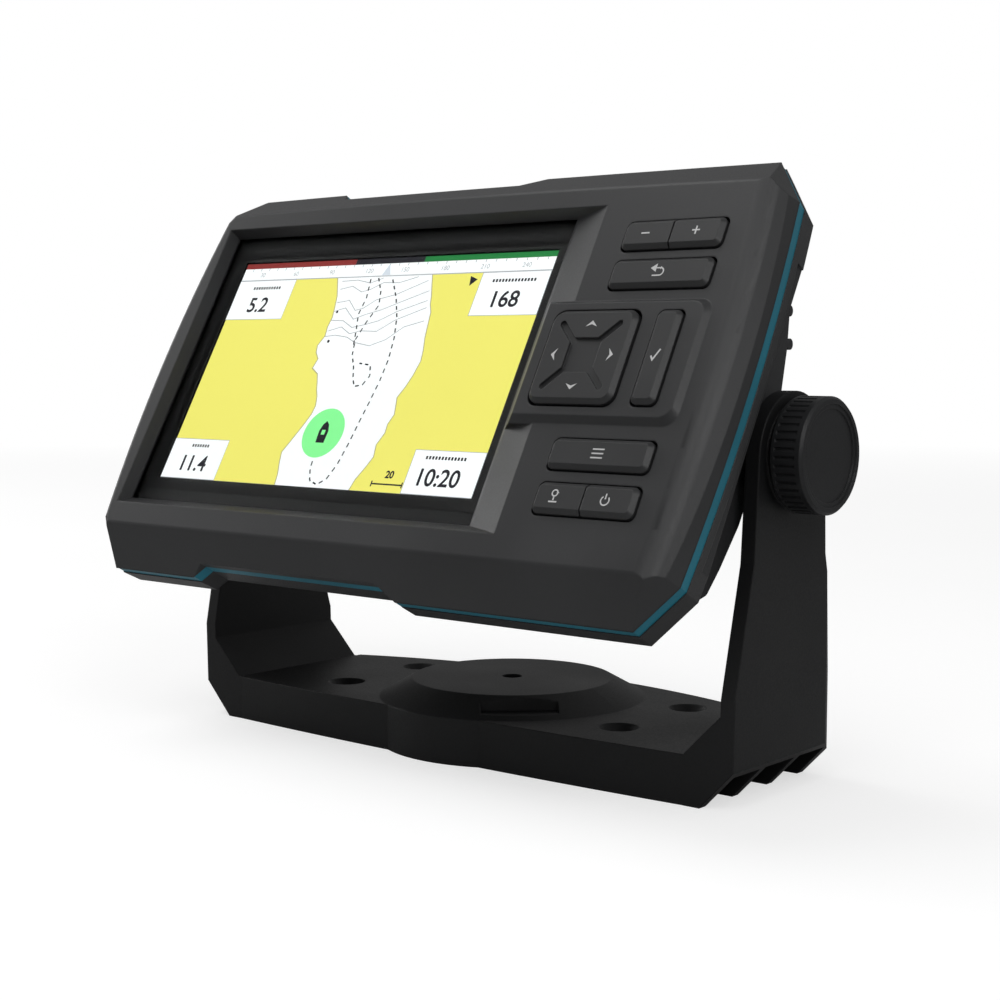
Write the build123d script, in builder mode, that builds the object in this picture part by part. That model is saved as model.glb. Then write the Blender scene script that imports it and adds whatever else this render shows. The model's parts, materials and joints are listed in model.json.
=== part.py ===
from build123d import *
from math import cos, radians, sin
import os

# A marine chartplotter display held in a bail bracket, in millimetres.
# World frame: X to the right as seen from the front, Y to the back, Z up. The origin is on the
# surface that the bracket stands on, midway between its arms.
# Display frame: u along X, v up the screen and w out of the screen. w is 0 at the picture.

# ---- Driving dimensions: where the display sits ----
TILT = 29.3  # how far the screen leans back, in degrees
PIVOT_Y = -1.3
PIVOT_Z = 77.4
PIVOT_V = -2.5  # the pivot is this far up the screen from its middle
PIVOT_W = -33.0  # and this far out of the screen, so behind it

# ---- Screen and window ----
PICTURE_U = -23.8
WINDOW_U = -24.8
WINDOW_W, WINDOW_H = 117.3, 79.2
WINDOW_LEVEL = 1.2
LENS_W, LENS_H = 120.0, 82.4
LENS_FRONT, LENS_BACK = 0.8, -0.15
LCD_W, LCD_H = 114.0, 72.0
LCD_FRONT, LCD_BACK = -0.65, -2.05
LIGHT_BACK = -4.65
PAN_WALL = 0.3

# ---- Front shell: level, half width, side bow, top, top bow, bottom, corner cuts (u, top v, bottom v) ----
FACE_LEVEL = 4.5
RIM_LEVEL = -2.2
SHELL_FACE = (87.1, 3.1, 45.1, 1.0, -48.2, 1.2, 1.5, 1.5)
SHELL_RIM = (90.7, 1.9, 53.9, 0.5, -58.4, 7.9, 10.9, 10.5)
CAVITY_FACE = (84.8, 1.4, 44.8, 0.6, -48.4, 3.0, 4.0, 4.0)
CAVITY_LEDGE = (85.4, 1.4, 46.2, 0.5, -50.0, 3.0, 4.0, 4.0)
CAVITY_RIM = (86.6, 1.4, 47.6, 0.5, -51.4, 5.0, 7.0, 6.0)
LEDGE_LEVEL = -0.2  # the seal is pressed against this step
WALL_BACK = 2.0  # inside of the front wall
WINDOW_MOUTH = ((-84.7, -42.3), (44.8, -42.3), (44.8, 40.8), (-84.7, 40.8))
MOUTH_LEVEL = 4.6
LEDGE_LEFT, LEDGE_RIGHT, LEDGE_HEIGHT = -84.5, 39.2, 88.2
EDGE_ROUND = 1.6
# Broad rounding of the right-hand front edge, as (u, w): start, middle and end of its arc.
SHOULDER_ARC = ((85.1, FACE_LEVEL), (87.71, 3.92), (89.83, 2.3))
SHOULDER_RUN = (94.97, -3.83)
SHOULDER_BOW_R, SHOULDER_V = 520.0, -3.2

# ---- Trim ring and rear shell ----
TRIM_BACK = -4.9
FLANGE_BACK = -10.5
SHELL_FLANGE = (90.1, 1.9, 53.3, 0.5, -58.1, 7.9, 10.9, 10.5)
SHELL_TRIM = (90.5, 1.9, 53.65, 0.5, -58.15, 7.9, 10.9, 10.5)
SPIGOT_OUT = (86.3, 1.4, 47.3, 0.5, -51.1, 5.0, 7.0, 6.0)
SPIGOT_IN = (85.1, 1.4, 46.1, 0.5, -49.9, 5.0, 7.0, 6.0)
SPIGOT_TOP = -1.5
FLANGE_FLOOR = -8.0
BACK_HALF, BLOCK_HALF = 80.5, 70.0
BACK_WALL = 2.6
BACK_LEVEL = -44.0
# Side outlines of the rear body and of the deeper block on its back, as (v, w) from the top round to
# the bottom. The first and last points are where they are open towards the screen.
BODY_OUTLINE = (
    (41.2, -9.0),
    (41.2, -22.8),
    (30.0, -25.2),
    (22.0, -28.6),
    (12.0, -31.5),
    (-21.5, -30.6),
    (-33.0, -28.4),
    (-40.0, -26.5),
    (-44.2, -22.0),
    (-44.2, -9.0),
)
BLOCK_OUTLINE = ((20.0, -27.0), (14.0, BACK_LEVEL), (-18.0, BACK_LEVEL), (-24.0, -27.0))
RIBS = ((23.3, -29.2), (29.8, -25.4), (37.4, -22.9))
RIB_R = 1.3
BACK_ROUND = 2.0
NOTCH_U, NOTCH_LENGTH, NOTCH_DEPTH, NOTCH_SLOPE = -19.0, 60.0, 3.2, 4.0
# Step along the flange's rear edge at each side: |u| that it leaves, front level, middle and length.
STEP_U, STEP_LEVEL, STEP_V, STEP_LENGTH = 90.6, -7.5, -5.5, 73.0

# ---- Case screws, in the shells' top and bottom margins ----
SCREW_U = (-78.0, -26.0, 26.0, 78.0)
SCREW_TOP_V, SCREW_BOTTOM_V = 44.0, -47.2
SCREW_R, SCREW_HEAD_R, SCREW_HEAD = 1.25, 2.3, 1.6
SCREW_FIT = 0.03
BOSS_FRONT_R, BOSS_REAR_R, SINK_R, SINK_DEPTH = 2.0, 3.2, 2.5, 1.9
SCREW_TIP = 0.5

# ---- Keys ----
KEY_U, PAIR_OFFSET = 65.85, 6.6
KEY_LENGTH, KEY_HEIGHT, KEY_ROUND = 26.4, 7.3, 1.7
ZOOM_V, BACK_V, MENU_V, MARK_V = 31.8, 21.75, -22.7, -33.25
KEY_GAP, PAIR_GAP = 0.4, 0.2
KEY_PROUD, KEY_BEVEL = 1.35, 1.0
LIP, LIP_TOP, LIP_BOTTOM = 0.9, 1.7, 0.9
PAD_U, PAD_V, PAD_SIZE, PAD_ROUND = 53.6, 0.3, 23.2, 3.0
PAD_GAP, PAD_ARM = 0.5, 8.0
PAD_LIP_TOP, PAD_LIP_BOTTOM, PAD_TIP = 1.0, 0.3, -2.3
PAD_SQUARE, PAD_GROOVE, PAD_GROOVE_LENGTH, PAD_RECESS = 8.6, 1.6, 23.6, 0.7
OK_U, OK_LENGTH, OK_HEIGHT = 73.1, 6.4, 22.8
ISLAND_LEVEL, ISLAND_ROUND = 5.7, 3.5
ISLAND_FOOT = (82.3, 15.5, -15.6)  # right, top and bottom where its sloped edges meet the face
ISLAND_RIDGE = (80.9, 14.2, -13.8)  # and where they reach its top
PLUNGER_R, PLUNGER_TIP, PLUNGER_HOLE_R = 1.5, -1.95, 2.0
ACTUATOR_TOP, ACTUATOR_BOTTOM, ACTUATOR_LENGTH, ACTUATOR_WIDTH = 0.05, -0.4, 18.0, 4.0
ROCK_W, KEEL_R, RIDGE_R, RIDGE_LENGTH = -0.1, 0.9, 0.5, 6.0  # the pad rocks about the level ROCK_W
MAT_FRONT, MAT_BACK = -1.1, -1.9
MAT_U, MAT_V, MAT_W, MAT_H, MAT_RAIL = 59.55, -1.0, 40.1, 71.2, 2.0
DOME_FOOT_R, DOME_CROWN_R, DOME_STEP, DOME_TOP = 2.2, 1.3, -2.85, -2.65
KEY_BOARD_FRONT, KEY_BOARD_BACK = -3.0, -4.6
KEY_BOARD_LEFT, KEY_BOARD_RIGHT, KEY_BOARD_TOP, KEY_BOARD_BOTTOM = 38.5, 84.5, 40.0, -42.0
KEY_POSTS = ((41.0, 37.0), (82.6, 37.0), (41.0, -39.0), (82.6, -39.0))
KEY_POST_R, KEY_SCREW_R, KEY_SCREW_HEAD_R = 1.9, 0.8, 1.5

# ---- Electronics ----
BOARD_FRONT, BOARD_BACK = -14.0, -15.6
BOARD_W, BOARD_H, BOARD_ROUND = 140.0, 70.0, 3.0
POST_U, POST_V, POST_R = 64.0, 29.0, 3.2
POST_TOP_END, POST_BOTTOM_END = -24.2, -27.8
SOCKET_U, SOCKET_V = -34.0, -2.0
SOCKET_R, SOCKET_WALL, SOCKET_FLANGE_R = 8.0, 1.3, 10.5
SOCKET_INNER, SOCKET_BACK = -37.0, -50.0
NUT_ACROSS, NUT_THICK = 21.0, 3.0
PIN_R, PIN_CIRCLE = 0.6, 3.6
VENT_U, VENT_V, VENT_R = 34.0, -2.0, 4.0

# ---- Pivot, from the middle outwards along X ----
INSERT_START, INSERT_END = 70.0, 80.0
BOSS_START, BOSS_END = 69.0, 82.1
WASHER_END = 83.1
STUD_START, SHOULDER_START = 71.5, 83.5
ARM_PAD_IN, ARM_PAD_OUT = 83.4, 87.8
THRUST_START, THRUST_END = 87.9, 88.5
KNOB_START, KNOB_END = 88.6, 96.8
STUD_HEAD_START, STUD_HEAD_END = 91.0, 94.0
STUD_R, SHOULDER_R, STUD_HEAD_R, RUNNING_GAP = 3.0, 4.0, 6.0, 0.06
INSERT_R, BOSS_R, PAD_R, WASHER_R = 5.0, 9.0, 11.5, 9.0
KNOB_R, KNOB_GROOVES, GROOVE_R = 13.05, 44, 0.42
KNOB_FACE_R, KNOB_RING_R = 10.4, 11.4

# ---- Bail bracket ----
FOOT_HALF = 77.1
FOOT_CORNER = (85.8, 9.0)
PLATE_TOP, CHANNEL_TOP = 11.5, 7.5
INNER_CORNER_LOW, INNER_CORNER_HIGH = (72.7, PLATE_TOP), (82.4, 21.1)
ARM_OUT_TOP, ARM_IN_TOP, ARM_TOP_Z = 87.7, 84.2, 96.0
ARM_FOOT, ARM_KNEE_Z, ARM_BEND_Z = 22.3, 25.0, 54.0
ARM_BEND_FRONT, ARM_BEND_REAR = -16.2, 14.5
ARM_ROUND = 14.1
LEG_CORNER, LEG_CUT_TOP = ((88.9, 11.05), (82.0, 25.425), (95.0, 25.425), (95.0, 11.05)), 60.0
FRONT_BOW, REAR_BULGE, BULGE_START = -24.5, 39.0, (72.0, 24.0)
DOME_Y, DOME_LOW_R, DOME_HIGH_R, DOME_HEIGHT = 6.7, 34.5, 26.0, 4.7
DOME_HOLLOW_R, DOME_HOLLOW_TOP = 23.0, 12.2
DIMPLE_R, DIMPLE_DEPTH = 2.6, 1.5
POCKET_TURN, POCKET_W, POCKET_FLOOR = -47.0, 19.0, 12.6
CHANNELS = ((-19.7, -8.8), (-6.4, 5.9), (8.3, 19.7))
REAR_CHANNEL_START, REAR_WALL = 22.3, 2.6
CROSS_RIB = 2.4
HOLE_X, HOLE_Y, HOLE_Y_HALF = 45.25, 6.15, 14.65
HOLE_R, COUNTERSINK_R, TUBE_R = 2.6, 4.9, 5.6

# ---- Frame of the display, worked out from the pivot ----
LEAN = radians(TILT)
UP_SCREEN = Vector(0, sin(LEAN), cos(LEAN))
OUT_OF_SCREEN = Vector(0, -cos(LEAN), sin(LEAN))
PIVOT = Vector(0, PIVOT_Y, PIVOT_Z)
SCREEN_ORIGIN = PIVOT - UP_SCREEN * PIVOT_V - OUT_OF_SCREEN * PIVOT_W
SCREEN = Plane(origin=SCREEN_ORIGIN, x_dir=(1, 0, 0), z_dir=OUT_OF_SCREEN)
OUTWARD = Axis(SCREEN_ORIGIN, OUT_OF_SCREEN)
# Sections across the display: x is v and y is w.
SIDE = Plane(origin=SCREEN_ORIGIN, x_dir=UP_SCREEN, z_dir=(1, 0, 0))
# Sections seen from below the display: x is u and y is w.
FROM_BELOW = Plane(origin=SCREEN_ORIGIN, x_dir=(1, 0, 0), z_dir=UP_SCREEN * -1)
os.makedirs("parts", exist_ok=True)


def level(w):
    """The plane parallel to the screen at distance w in front of the picture."""
    return SCREEN.offset(w)


def save(piece, name):
    """Labels a finished piece and writes it."""
    piece.part.label = name
    export_step(piece.part, f"parts/{name}.step")


def shell(w, half, bow, top, top_bow, bottom, cut_u, cut_top, cut_bottom):
    """An eight-cornered outline with bowed sides and top, at one level of the display."""
    high, low = top - cut_top, bottom + cut_bottom
    with BuildSketch(level(w)) as drawing:
        with BuildLine():
            ThreePointArc((half, low), (half + bow, (high + low) / 2), (half, high))
            Line((half, high), (half - cut_u, top))
            ThreePointArc((half - cut_u, top), (0, top + top_bow), (cut_u - half, top))
            Line((cut_u - half, top), (-half, high))
            ThreePointArc((-half, high), (-half - bow, (high + low) / 2), (-half, low))
            Line((-half, low), (cut_u - half, bottom))
            Line((cut_u - half, bottom), (half - cut_u, bottom))
            Line((half - cut_u, bottom), (half, low))
        make_face()
    return drawing.sketch


def slab(low, high, u, v, width, height, corner=0.0, mode=Mode.ADD):
    """A flat rectangular block between two levels of the display, with rounded corners if wanted."""
    with BuildSketch(level(low)) as drawing:
        with Locations((u, v)):
            if corner:
                RectangleRounded(width, height, corner)
            else:
                Rectangle(width, height)
    extrude(drawing.sketch, amount=high - low, mode=mode)


def frame(low, high, u, v, outer, inner):
    """A flat rectangular frame between two levels of the display."""
    slab(low, high, u, v, outer[0], outer[1])
    slab(low, high, u, v, inner[0], inner[1], mode=Mode.SUBTRACT)


def rod(low, high, u, v, radius, mode=Mode.ADD):
    """A round bar between two levels of the display."""
    with BuildSketch(level(low)) as drawing:
        with Locations((u, v)):
            Circle(radius)
    extrude(drawing.sketch, amount=high - low, mode=mode)


def pivot_rod(side, start, end, radius, mode=Mode.ADD):
    """A round bar on the pivot line, from |x| = start to |x| = end, on the right (1) or left (-1)."""
    place = Plane(origin=(side * start, PIVOT_Y, PIVOT_Z), x_dir=(0, 1, 0), z_dir=(side, 0, 0))
    with BuildSketch(place) as drawing:
        Circle(radius)
    extrude(drawing.sketch, amount=end - start, mode=mode)


def screw_places():
    """Where the case screws go, as (u, v)."""
    return [(u, v) for v in (SCREW_TOP_V, SCREW_BOTTOM_V) for u in SCREW_U]


def post_places():
    """Where the main board is held, as (u, v, end of the post)."""
    ends = ((POST_V, POST_TOP_END), (-POST_V, POST_BOTTOM_END))
    return [(u, v, end) for v, end in ends for u in (-POST_U, POST_U)]


def cut_rim_notches():
    """Cuts the shallow step along the middle of the shells' top and bottom edges."""
    near, far = NOTCH_U - NOTCH_LENGTH / 2, NOTCH_U + NOTCH_LENGTH / 2
    for edge, inward in ((SHELL_RIM[2] + SHELL_RIM[3], -1), (SHELL_RIM[4], 1)):
        with BuildSketch(level(FLANGE_BACK - 1)) as drawing:
            with BuildLine():
                Polyline(
                    (near - NOTCH_SLOPE, edge - inward),
                    (near, edge + inward * NOTCH_DEPTH),
                    (far, edge + inward * NOTCH_DEPTH),
                    (far + 2 * NOTCH_SLOPE, edge - inward),
                    close=True,
                )
            make_face()
        extrude(drawing.sketch, amount=FACE_LEVEL - FLANGE_BACK, mode=Mode.SUBTRACT)


def side_outline(outline, open_level, inset):
    """A side outline of the rear shell, shrunk by the inset, with its open end at open_level."""
    points = list(outline)
    points[0] = (points[0][0], open_level)
    points[-1] = (points[-1][0], open_level)
    with BuildSketch(SIDE) as drawing:
        with BuildLine():
            Polyline(*points, close=True)
        make_face()
        fillet(drawing.vertices(), BACK_ROUND)
        if inset:
            offset(amount=-inset, mode=Mode.REPLACE)
    return drawing.sketch


# ---- Keys: (u, v, length, height, level of the wall round it, half of a shared cap) ----
KEYS = {
    "key_zoom_out": (KEY_U, ZOOM_V, KEY_LENGTH, KEY_HEIGHT, FACE_LEVEL, -1),
    "key_zoom_in": (KEY_U, ZOOM_V, KEY_LENGTH, KEY_HEIGHT, FACE_LEVEL, 1),
    "key_back": (KEY_U, BACK_V, KEY_LENGTH, KEY_HEIGHT, FACE_LEVEL, 0),
    "key_ok": (OK_U, PAD_V, OK_LENGTH, OK_HEIGHT, ISLAND_LEVEL, 0),
    "key_menu": (KEY_U, MENU_V, KEY_LENGTH, KEY_HEIGHT, FACE_LEVEL, 0),
    "key_mark": (KEY_U, MARK_V, KEY_LENGTH, KEY_HEIGHT, FACE_LEVEL, -1),
    "key_power": (KEY_U, MARK_V, KEY_LENGTH, KEY_HEIGHT, FACE_LEVEL, 1),
}
PLUNGERS = [(u + half * PAIR_OFFSET, v) for u, v, _, _, _, half in KEYS.values()]
PAD_SIDES = [(PAD_U - PAD_ARM, PAD_V), (PAD_U + PAD_ARM, PAD_V)]
PAD_ENDS = [(PAD_U, PAD_V - PAD_ARM), (PAD_U, PAD_V + PAD_ARM)]


def ribbon(u, width, v_top, w_top, v_bottom, w_bottom, thick=0.3):
    """A flat cable in the shape of a Z, from a board at w_top down to a board at w_bottom."""
    middle = (v_top + v_bottom) / 2
    with BuildSketch(SIDE) as drawing:
        with BuildLine():
            Polyline(
                (v_top, w_top),
                (middle, w_top),
                (middle, w_bottom + thick),
                (v_bottom, w_bottom + thick),
                (v_bottom, w_bottom),
                (middle + thick, w_bottom),
                (middle + thick, w_top - thick),
                (v_top, w_top - thick),
                close=True,
            )
        make_face()
    extrude(drawing.sketch.moved(Location((u, 0, 0))), amount=width / 2, both=True)


def island_outline(w, right, top, bottom):
    """Outline of the raised island at one level; its left end lies under the slope to the glass."""
    left = KEY_U - 40
    with BuildSketch(level(w)) as drawing:
        with Locations(((left + right) / 2, (top + bottom) / 2)):
            RectangleRounded(right - left, top - bottom, ISLAND_ROUND)
    return drawing.sketch


# ---- Raised island round the four-way pad, part of the front shell ----
with BuildPart() as island:
    island_foot = FACE_LEVEL - 0.2
    loft([island_outline(island_foot, *ISLAND_FOOT), island_outline(ISLAND_LEVEL, *ISLAND_RIDGE)], ruled=True)
    extrude(island_outline(island_foot, *ISLAND_FOOT), amount=WINDOW_LEVEL - island_foot)
    # Its left end runs down to the glass.
    with BuildSketch(FROM_BELOW) as island_side:
        with BuildLine():
            Polyline(
                (34.2, WINDOW_LEVEL),
                (38.8, ISLAND_LEVEL),
                (90.0, ISLAND_LEVEL),
                (90.0, WALL_BACK),
                (38.2, WALL_BACK),
                (38.2, WINDOW_LEVEL),
                close=True,
            )
        make_face()
    extrude(island_side.sketch, amount=20, both=True, mode=Mode.INTERSECT)

# ---- Front shell ----
with BuildPart() as front_bezel:
    loft([shell(FACE_LEVEL, *SHELL_FACE), shell(RIM_LEVEL, *SHELL_RIM)], ruled=True)
    fillet(front_bezel.faces().sort_by(OUTWARD)[-1].edges(), EDGE_ROUND)
    extrude(shell(RIM_LEVEL, *CAVITY_RIM), amount=LEDGE_LEVEL - RIM_LEVEL, mode=Mode.SUBTRACT)
    upper = [shell(LEDGE_LEVEL, *CAVITY_LEDGE), shell(WALL_BACK, *CAVITY_FACE)]
    loft(upper, ruled=True, mode=Mode.SUBTRACT)
    # Ledge that the lens is stuck to, then the sloped window.
    ledge_u = (LEDGE_LEFT + LEDGE_RIGHT) / 2
    slab(WINDOW_LEVEL, WALL_BACK, ledge_u, 0, LEDGE_RIGHT - LEDGE_LEFT, LEDGE_HEIGHT)
    with BuildSketch(level(WINDOW_LEVEL)) as opening:
        with Locations((WINDOW_U, 0)):
            Rectangle(WINDOW_W, WINDOW_H)
    with BuildSketch(level(MOUTH_LEVEL)) as mouth:
        with BuildLine():
            Polyline(*WINDOW_MOUTH, close=True)
        make_face()
    loft([opening.sketch, mouth.sketch], ruled=True, mode=Mode.SUBTRACT)
    add(island.part)
    # Broad rounding along the right-hand edge, bowed like the edge itself.
    with BuildSketch(FROM_BELOW.offset(-SHOULDER_V)) as shoulder:
        with BuildLine():
            ThreePointArc(*SHOULDER_ARC)
            Polyline(SHOULDER_ARC[-1], SHOULDER_RUN, (99, SHOULDER_RUN[1]), (99, 9), (SHOULDER_ARC[0][0], 9))
            Line((SHOULDER_ARC[0][0], 9), SHOULDER_ARC[0])
        make_face()
    bow_centre = SHOULDER_ARC[-1][0] - SHOULDER_BOW_R
    bow_axis = Axis(level(0).from_local_coords((bow_centre, SHOULDER_V, 0)), OUT_OF_SCREEN)
    revolve(shoulder.sketch.rotate(bow_axis, -8), bow_axis, revolution_arc=16, mode=Mode.SUBTRACT)
    cut_rim_notches()
    for u, v, length, height, _, _ in KEYS.values():
        slab(0, 9, u, v, length + 2 * KEY_GAP, height + 2 * KEY_GAP, KEY_ROUND, Mode.SUBTRACT)
    slab(0, 9, PAD_U, PAD_V, PAD_SIZE + 2 * PAD_GAP, PAD_SIZE + 2 * PAD_GAP, PAD_ROUND, Mode.SUBTRACT)
    for u, v in screw_places():
        rod(RIM_LEVEL, WALL_BACK, u, v, BOSS_FRONT_R)
        rod(RIM_LEVEL, SCREW_TIP + 0.2, u, v, SCREW_R + SCREW_FIT, Mode.SUBTRACT)
    for u, v in KEY_POSTS:
        rod(KEY_BOARD_FRONT, WALL_BACK, u, v, KEY_POST_R)
        rod(KEY_BOARD_FRONT, 0.5, u, v, KEY_SCREW_R + SCREW_FIT, Mode.SUBTRACT)
save(front_bezel, "front_bezel")

# ---- Trim ring between the shells, and the seal inside them ----
with BuildPart() as trim_ring:
    extrude(shell(TRIM_BACK, *SHELL_TRIM), amount=RIM_LEVEL - TRIM_BACK)
    extrude(shell(TRIM_BACK, *CAVITY_RIM), amount=RIM_LEVEL - TRIM_BACK, mode=Mode.SUBTRACT)
    cut_rim_notches()
save(trim_ring, "trim_ring")

with BuildPart() as case_seal:
    extrude(shell(SPIGOT_TOP, *SPIGOT_OUT), amount=LEDGE_LEVEL - SPIGOT_TOP)
    extrude(shell(SPIGOT_TOP, *SPIGOT_IN), amount=LEDGE_LEVEL - SPIGOT_TOP, mode=Mode.SUBTRACT)
save(case_seal, "case_seal")

# ---- Rear shell ----
with BuildPart() as rear_housing:
    loft([shell(FLANGE_BACK, *SHELL_FLANGE), shell(TRIM_BACK, *SHELL_RIM)], ruled=True)
    cut_rim_notches()
    for side in (1, -1):
        slab(FLANGE_BACK - 1, STEP_LEVEL, side * (STEP_U + 5), STEP_V, 10, STEP_LENGTH, mode=Mode.SUBTRACT)
    extrude(side_outline(BODY_OUTLINE, -9.0, 0), amount=BACK_HALF, both=True)
    extrude(side_outline(BLOCK_OUTLINE, -26.0, 0), amount=BLOCK_HALF, both=True)
    extrude(shell(TRIM_BACK, *SPIGOT_OUT), amount=SPIGOT_TOP - TRIM_BACK)
    for v, w in RIBS:
        with BuildSketch(SIDE) as rib:
            with Locations((v, w)):
                Circle(RIB_R)
        extrude(rib.sketch, amount=BACK_HALF, both=True)
    # Cavity: the flat part behind the rim, then the deep part.
    extrude(shell(FLANGE_FLOOR, *SPIGOT_IN), amount=SPIGOT_TOP - FLANGE_FLOOR, mode=Mode.SUBTRACT)
    body_hollow = side_outline(BODY_OUTLINE, 0.0, BACK_WALL)
    extrude(body_hollow, amount=BACK_HALF - BACK_WALL, both=True, mode=Mode.SUBTRACT)
    block_hollow = side_outline(BLOCK_OUTLINE, -20.0, BACK_WALL)
    extrude(block_hollow, amount=BLOCK_HALF - BACK_WALL, both=True, mode=Mode.SUBTRACT)
    for u, v in screw_places():
        rod(FLANGE_BACK, TRIM_BACK, u, v, BOSS_REAR_R)
        rod(TRIM_BACK, RIM_LEVEL, u, v, BOSS_FRONT_R)
        rod(FLANGE_BACK, RIM_LEVEL, u, v, SCREW_R + SCREW_FIT, Mode.SUBTRACT)
        rod(FLANGE_BACK, FLANGE_BACK + SINK_DEPTH, u, v, SINK_R, Mode.SUBTRACT)
    for u, v, end in post_places():
        rod(end, BOARD_BACK, u, v, POST_R)
        rod(end + 2, BOARD_BACK, u, v, SCREW_R + SCREW_FIT, Mode.SUBTRACT)
    for side in (1, -1):
        pivot_rod(side, BOSS_START, BOSS_END, BOSS_R)
        pivot_rod(side, BOSS_START, INSERT_END, INSERT_R, Mode.SUBTRACT)
        pivot_rod(side, INSERT_END, BOSS_END, STUD_R + 0.3, Mode.SUBTRACT)
    rod(BACK_LEVEL, BACK_LEVEL + 5, SOCKET_U, SOCKET_V, SOCKET_R, Mode.SUBTRACT)
    rod(BACK_LEVEL, BACK_LEVEL + 5, VENT_U, VENT_V, VENT_R, Mode.SUBTRACT)
save(rear_housing, "rear_housing")

# ---- Fasteners of the case and boards ----
with BuildPart() as case_screws:
    for u, v in screw_places():
        head = FLANGE_BACK + SINK_DEPTH
        rod(head, SCREW_TIP, u, v, SCREW_R)
        rod(head - SCREW_HEAD, head, u, v, SCREW_HEAD_R)
        slab(head - SCREW_HEAD, head - SCREW_HEAD + 0.8, u, v, 2.6, 0.7, mode=Mode.SUBTRACT)
        slab(head - SCREW_HEAD, head - SCREW_HEAD + 0.8, u, v, 0.7, 2.6, mode=Mode.SUBTRACT)
save(case_screws, "case_screws")

with BuildPart() as board_screws:
    for u, v, _ in post_places():
        rod(BOARD_BACK - 6, BOARD_FRONT, u, v, SCREW_R)
        rod(BOARD_FRONT, BOARD_FRONT + 1.3, u, v, SCREW_HEAD_R)
save(board_screws, "board_screws")

with BuildPart() as key_screws:
    for u, v in KEY_POSTS:
        rod(KEY_BOARD_BACK, 0.2, u, v, KEY_SCREW_R)
        rod(KEY_BOARD_BACK - 0.9, KEY_BOARD_BACK, u, v, KEY_SCREW_HEAD_R)
save(key_screws, "key_screws")

# ---- Window and screen stack ----
with BuildPart() as cover_lens:
    slab(LENS_BACK, LENS_FRONT, WINDOW_U, 0, LENS_W, LENS_H, 1.0)
save(cover_lens, "cover_lens")

with BuildPart() as lens_adhesive:
    inner = (WINDOW_W + 0.6, WINDOW_H + 0.6)
    frame(LENS_FRONT, WINDOW_LEVEL, WINDOW_U, 0, (LENS_W - 0.4, LENS_H - 0.4), inner)
save(lens_adhesive, "lens_adhesive")

with BuildPart() as lcd_gasket:
    frame(LCD_FRONT, LENS_BACK, PICTURE_U, 0, (LCD_W, LCD_H), (LCD_W - 4, LCD_H - 5))
save(lcd_gasket, "lcd_gasket")

with BuildPart() as lcd_panel:
    slab(LCD_BACK, LCD_FRONT, PICTURE_U, 0, LCD_W, LCD_H)
save(lcd_panel, "lcd_panel")

with BuildPart() as lcd_backlight:
    slab(LIGHT_BACK, LCD_BACK, PICTURE_U, 0, LCD_W, LCD_H)
save(lcd_backlight, "lcd_backlight")

with BuildPart() as lcd_frame:
    slab(LIGHT_BACK - PAN_WALL, LCD_FRONT, PICTURE_U, 0, LCD_W + 2 * PAN_WALL, LCD_H + 2 * PAN_WALL)
    slab(LIGHT_BACK, LCD_FRONT, PICTURE_U, 0, LCD_W, LCD_H, mode=Mode.SUBTRACT)
save(lcd_frame, "lcd_frame")


# ---- Keys ----
def key_cap(name):
    """One key: cap, retaining lip and plunger. Shared caps are split down the middle."""
    u, v, length, height, wall, half = KEYS[name]
    top = wall + KEY_PROUD
    with BuildPart() as cap:
        slab(LIP_BOTTOM, top, u, v, length, height, KEY_ROUND)
        chamfer(cap.faces().sort_by(OUTWARD)[-1].edges(), KEY_BEVEL)
        slab(LIP_BOTTOM, LIP_TOP, u, v, length + 2 * LIP, height + 2 * LIP, KEY_ROUND)
        rod(PLUNGER_TIP, LIP_BOTTOM, u + half * PAIR_OFFSET, v, PLUNGER_R)
        if half:
            slab(PLUNGER_TIP, top, u + half * (PAIR_GAP - length / 2 - LIP), v, length + 2 * LIP,
                 height + 2 * LIP, mode=Mode.SUBTRACT)
    save(cap, name)


def rock_ridge(radius, length, mode=Mode.ADD):
    """A round bar across the pad, on the line that the pad rocks about up and down."""
    with BuildSketch(SIDE.offset(PAD_U)) as drawing:
        with Locations((PAD_V, ROCK_W)):
            Circle(radius)
    extrude(drawing.sketch, amount=length / 2, both=True, mode=mode)


for key_name in KEYS:
    key_cap(key_name)

with BuildPart() as key_pad:
    pad_top = ISLAND_LEVEL + KEY_PROUD
    slab(PAD_LIP_BOTTOM, pad_top, PAD_U, PAD_V, PAD_SIZE, PAD_SIZE, PAD_ROUND)
    chamfer(key_pad.faces().sort_by(OUTWARD)[-1].edges(), KEY_BEVEL)
    slab(PAD_LIP_BOTTOM, PAD_LIP_TOP, PAD_U, PAD_V, PAD_SIZE + 2 * LIP, PAD_SIZE + 2 * LIP, PAD_ROUND)
    # Grooves towards the corners, then the sunk square between them.
    with BuildSketch(level(pad_top - PAD_RECESS)) as grooves:
        with Locations((PAD_U, PAD_V)):
            SlotOverall(PAD_GROOVE_LENGTH, PAD_GROOVE, rotation=45)
            SlotOverall(PAD_GROOVE_LENGTH, PAD_GROOVE, rotation=-45)
            Rectangle(PAD_SQUARE, PAD_SQUARE)
    extrude(grooves.sketch, amount=1, mode=Mode.SUBTRACT)
    for u, v in PAD_ENDS:
        rod(PAD_TIP, PAD_LIP_BOTTOM, u, v, PLUNGER_R)
    rock_ridge(RIDGE_R + RUNNING_GAP, RIDGE_LENGTH + 0.4, Mode.SUBTRACT)
save(key_pad, "key_pad")

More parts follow.
